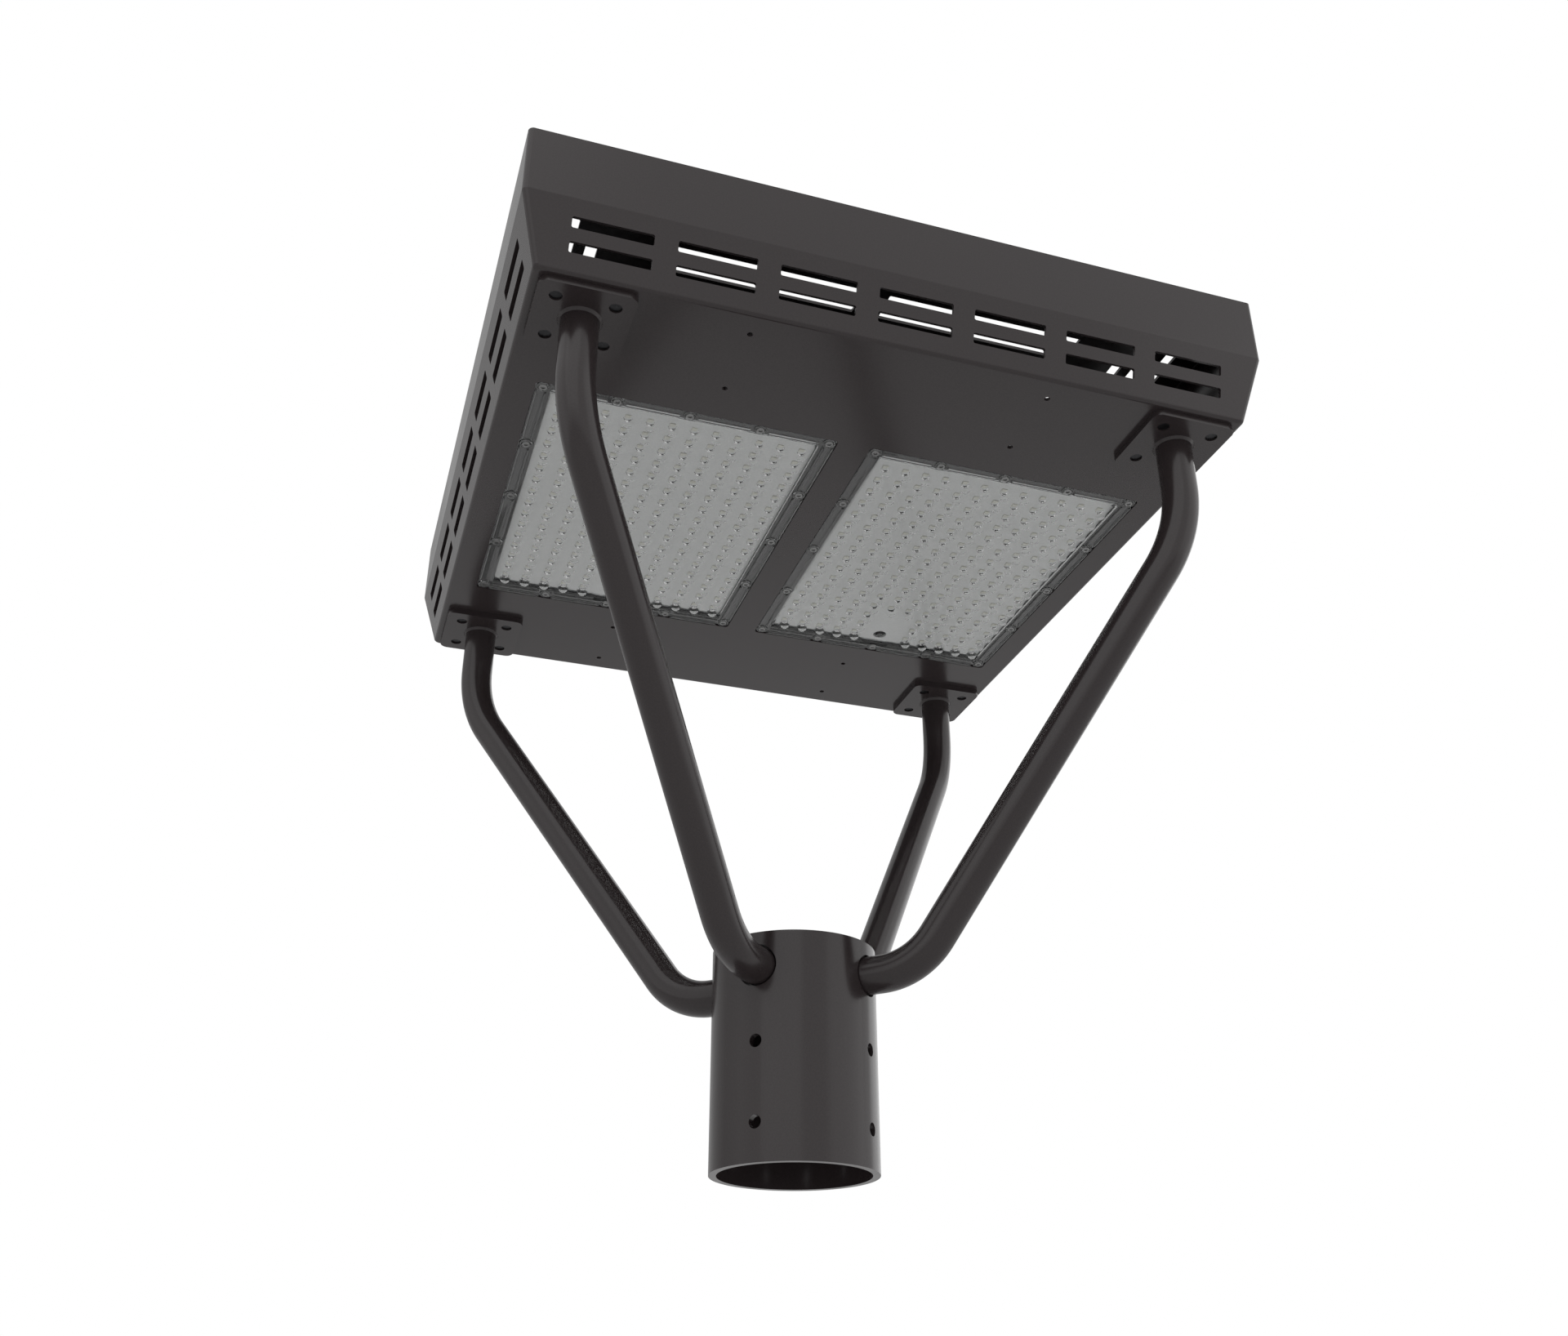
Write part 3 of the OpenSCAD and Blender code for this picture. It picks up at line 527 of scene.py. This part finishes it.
lensSet = {
    "centreX": 95.2,
    "centreY": 0.5,
    "base": 379.5,
    "pitchX": 12.65,
    "pitchY": 12.4,
    "columns": 12,
    "rows": 16,
    "blankRows": 3,
    "blankEdge": 0.1,
    "windowW": 152.4,
    "windowL": 204.4,
    "dome": ((4, 0), (2.6, -3.1), (1.5, -4.03)),
    "domeTip": -4.4,
    "well": ((2.3, 2), (1.7, 0.45)),
    "wellTip": -0.3,
}

rimSet = {
    "outerW": 170.5,
    "outerL": 222.5,
    "rib": 1.2,
    "ribHeight": 1.2,
    "innerRib": 5.4,
    "top": 2.8,
    "boss": 7.6,
    "bossX": 81.25,
    "bossY": 107.25,
    "relief": 5.6,
    "screw": 3.3,
    "head": 6.2,
    "headDepth": 1,
    "notch": 18.6,
    "notchDepth": 3.6,
    "soften": 0.42,
    "bossSoften": 0.5,
    "sharp": 50,
    "cutBelow": -1,
    "cutAbove": 4,
    "reliefOver": 0.02,
    "bossUnder": 0.01,
    "loops": ((0, 2.5), (1.2, 1.3), (5.4, 2), (6.6, 0.8), (9, 0.5)),
}


def lensSheet(rings, tip):
    lens = lensSet
    level = mm(rings[0][1])
    bpy.ops.mesh.primitive_grid_add(x_subdivisions=3, y_subdivisions=3, size=1, location=(0, 0, level))
    cell = bpy.context.active_object
    cell.scale = (mm(lens["pitchX"]), mm(lens["pitchY"]), 1)
    settle(cell)
    shape = editMesh(cell)
    for vertex in shape.verts:
        vertex.select_set(not vertex.is_boundary)
    bmesh.update_edit_mesh(cell.data)
    bpy.ops.mesh.delete(type="VERT")
    bpy.ops.mesh.primitive_circle_add(
        vertices=12, radius=mm(rings[0][0]), location=(0, 0, level), rotation=(0, 0, math.radians(15))
    )
    bpy.ops.mesh.select_all(action="SELECT")
    bpy.ops.mesh.bridge_edge_loops()
    bpy.ops.mesh.select_all(action="DESELECT")
    bpy.ops.object.mode_set(mode="OBJECT")
    radius = rings[0][0]
    for nextRadius, nextLevel in rings[1:]:
        growRing(cell, radius, level, nextRadius, mm(nextLevel))
        radius, level = nextRadius, mm(nextLevel)
    growRing(cell, radius, level, 0.4, mm(tip))
    bpy.ops.mesh.merge(type="CENTER")
    bpy.ops.object.mode_set(mode="OBJECT")
    return cell


def growRing(cell, radius, level, nextRadius, nextLevel):
    selectEdges(cell, lambda a, b: onRing(a, radius, level) and onRing(b, radius, level))
    bpy.ops.mesh.extrude_edges_move(TRANSFORM_OT_translate={"value": (0, 0, nextLevel - level)})
    size = nextRadius / radius
    bpy.ops.transform.resize(value=(size, size, 1), center_override=(0, 0, nextLevel))


def onRing(point, radius, level):
    return abs(point.xy.length - mm(radius)) < ringGap and abs(point.z - level) < levelGap


def repeatCell(cell):
    lens = lensSet
    across = (lens["columns"], (mm(lens["pitchX"]), 0, 0))
    along = (lens["rows"], (0, mm(lens["pitchY"]), 0))
    for count, step in (across, along):
        addModifier(
            cell, "ARRAY", count=count, use_relative_offset=False, use_constant_offset=True,
            constant_offset_displace=step, use_merge_vertices=True, merge_threshold=weldGap,
        )
    cell.location = (
        mm(-(lens["columns"] - 1) / 2 * lens["pitchX"]), mm(-(lens["rows"] - 1) / 2 * lens["pitchY"]), 0
    )
    settle(cell)
    blankY = mm((lens["rows"] / 2 - lens["blankRows"]) * lens["pitchY"])
    selectFaces(cell, lambda centre, normal: abs(centre.x) < mm(lens["pitchX"]) and centre.y > blankY)
    bpy.ops.mesh.delete(type="FACE")
    bpy.ops.object.mode_set(mode="OBJECT")
    inside = mm(lens["pitchX"] + lens["blankEdge"])
    shape = editMesh(cell, "EDGE")
    for edge in shape.edges:
        centre = (edge.verts[0].co + edge.verts[1].co) / 2
        inBlank = abs(centre.x) < inside and blankY - mm(lens["blankEdge"]) < centre.y
        edge.select_set(edge.is_boundary and inBlank)
    bmesh.update_edit_mesh(cell.data)
    bpy.ops.mesh.edge_face_add()
    bpy.ops.object.mode_set(mode="OBJECT")
    return cell


def makeWindow():
    lens = lensSet
    below = repeatCell(lensSheet(lens["dome"], lens["domeTip"]))
    above = repeatCell(lensSheet(lens["well"], lens["wellTip"]))
    window = joinPieces([below, above], "window")
    shape = editMesh(window, "EDGE")
    for edge in shape.edges:
        edge.select_set(edge.is_boundary)
    bmesh.update_edit_mesh(window.data)
    bpy.ops.mesh.bridge_edge_loops()
    bpy.ops.object.mode_set(mode="OBJECT")
    halfX = mm(lens["columns"] / 2 * lens["pitchX"])
    halfY = mm(lens["rows"] / 2 * lens["pitchY"])
    growX = mm(lens["windowW"] / 2) - halfX
    growY = mm(lens["windowL"] / 2) - halfY
    for side in (-1, 1):
        selectFaces(window, lambda at, normal: side * at.y > halfY - levelGap and abs(normal.y) > 0.9)
        bpy.ops.mesh.extrude_region_move(TRANSFORM_OT_translate={"value": (0, side * growY, 0)})
        bpy.ops.object.mode_set(mode="OBJECT")
    for side in (-1, 1):
        selectFaces(window, lambda at, normal: side * at.x > halfX - levelGap and abs(normal.x) > 0.9)
        bpy.ops.mesh.extrude_region_move(TRANSFORM_OT_translate={"value": (side * growX, 0, 0)})
        bpy.ops.object.mode_set(mode="OBJECT")
    editMesh(window)
    bpy.ops.mesh.select_all(action="SELECT")
    bpy.ops.mesh.remove_doubles(threshold=weldGap)
    bpy.ops.mesh.normals_make_consistent(inside=False)
    bpy.ops.object.mode_set(mode="OBJECT")
    return window


def bossPlaces():
    rim = rimSet
    halfX = rim["bossX"] / 2
    halfY = rim["bossY"] / 2
    ends = [(step * halfX, end * rim["bossY"]) for step in (-2, -1, 0, 1, 2) for end in (-1, 1)]
    sides = [(side * rim["bossX"], step * halfY) for side in (-1, 1) for step in (-1, 0, 1)]
    return ends + sides


def roundEdges(piece, width):
    angle = math.radians(rimSet["sharp"])
    addModifier(piece, "BEVEL", width=mm(width), segments=2, limit_method="ANGLE", angle_limit=angle)


def pegs(radius, low, high, steps=24, soften=0):
    made = []
    for x, y in bossPlaces():
        bpy.ops.mesh.primitive_cylinder_add(
            vertices=steps, radius=mm(radius), depth=mm(high - low),
            location=(mm(x), mm(y), mm(low + high) / 2),
        )
        peg = bpy.context.active_object
        if soften:
            roundEdges(peg, soften)
        made.append(peg)
    return made


def rimLoop(inset, radius):
    rim = rimSet
    bpy.ops.mesh.primitive_plane_add(size=1, location=(0, 0, mm(rim["ribHeight"])))
    loop = bpy.context.active_object
    loop.scale = (mm(rim["outerW"] - 2 * inset), mm(rim["outerL"] - 2 * inset), 1)
    settle(loop)
    bpy.ops.object.mode_set(mode="EDIT")
    bpy.ops.mesh.select_all(action="SELECT")
    bpy.ops.mesh.bevel(offset=mm(radius), segments=4, affect="VERTICES")
    bpy.ops.mesh.select_all(action="SELECT")
    bpy.ops.mesh.delete(type="ONLY_FACE")
    bpy.ops.object.mode_set(mode="OBJECT")
    return loop


def rimBand(outer, inner):
    band = joinPieces([rimLoop(*outer), rimLoop(*inner)], "rim_band")
    editMesh(band)
    bpy.ops.mesh.select_all(action="SELECT")
    bpy.ops.mesh.bridge_edge_loops()
    bpy.ops.object.mode_set(mode="OBJECT")
    return band


def makeRim():
    rim = rimSet
    low = mm(rim["ribHeight"])
    rounds = rim["loops"]
    bands = [rimBand(outer, inner) for outer, inner in zip(rounds, rounds[1:])]
    piece = joinPieces(bands, "rim")
    editMesh(piece)
    bpy.ops.mesh.select_all(action="SELECT")
    bpy.ops.mesh.remove_doubles(threshold=weldGap)
    bpy.ops.mesh.normals_make_consistent(inside=False)
    bpy.ops.mesh.extrude_region_move(TRANSFORM_OT_translate={"value": (0, 0, mm(rim["top"]) - low)})
    bpy.ops.object.mode_set(mode="OBJECT")
    halfW, halfL = mm(rim["outerW"] / 2), mm(rim["outerL"] / 2)

    def underRib(centre, normal):
        depth = min(halfW - abs(centre.x), halfL - abs(centre.y))
        outer = depth < mm(rim["rib"])
        inner = mm(rim["innerRib"]) < depth < mm(rim["innerRib"] + rim["rib"])
        return abs(centre.z - low) < levelGap and abs(normal.z) > 0.9 and (outer or inner)

    selectFaces(piece, underRib)
    bpy.ops.mesh.extrude_region_move(TRANSFORM_OT_translate={"value": (0, 0, -low)})
    bpy.ops.mesh.select_all(action="SELECT")
    bpy.ops.mesh.normals_make_consistent(inside=False)
    bpy.ops.object.mode_set(mode="OBJECT")
    roundEdges(piece, rim["soften"])
    below = rim["cutBelow"]
    reliefs = pegs(rim["relief"], below, rim["ribHeight"] + rim["reliefOver"], 28)    # a flat on the mitre
    cutWith(piece, reliefs)
    bosses = pegs(rim["boss"] / 2, 0, rim["top"] - rim["bossUnder"], soften=rim["bossSoften"])
    cutWith(piece, bosses, "UNION")
    cutWith(piece, pegs(rim["head"] / 2, below, rim["headDepth"]))
    cutWith(piece, pegs(rim["screw"] / 2, below, rim["cutAbove"], 12))
    notchY = lensSet["windowL"] / 2 + rim["notchDepth"] / 2
    bpy.ops.mesh.primitive_cube_add(size=1, location=(0, mm(notchY), mm(1)))
    notch = bpy.context.active_object
    notch.scale = (mm(rim["notch"]), mm(rim["notchDepth"]), mm(8))
    cutWith(piece, [notch])
    return piece


def seatPlate(piece, slotFinish):
    lens = lensSet
    piece.location = (mm(lens["centreX"]), mm(lens["centreY"]), mm(lens["base"]))
    settle(piece)
    bpy.ops.object.shade_smooth_by_angle(angle=math.radians(50))
    name = piece.name
    for side, shift in {"left": -2 * lens["centreX"], "right": 0}.items():
        plate = copyPiece(piece, name + "_" + side)
        plate.data.transform(Matrix.Translation((mm(shift), 0, 0)))
        giveFinish(plate, name + "_" + side, "clear_plastic", ["lens_plate_" + side])
        plate.data.materials[0] = slotFinish
    bpy.data.objects.remove(piece)


seatPlate(makeWindow(), lensFinish)
print("lens windows are on")
seatPlate(makeRim(), finishes["clear_plastic"])
print("lens rims are on")
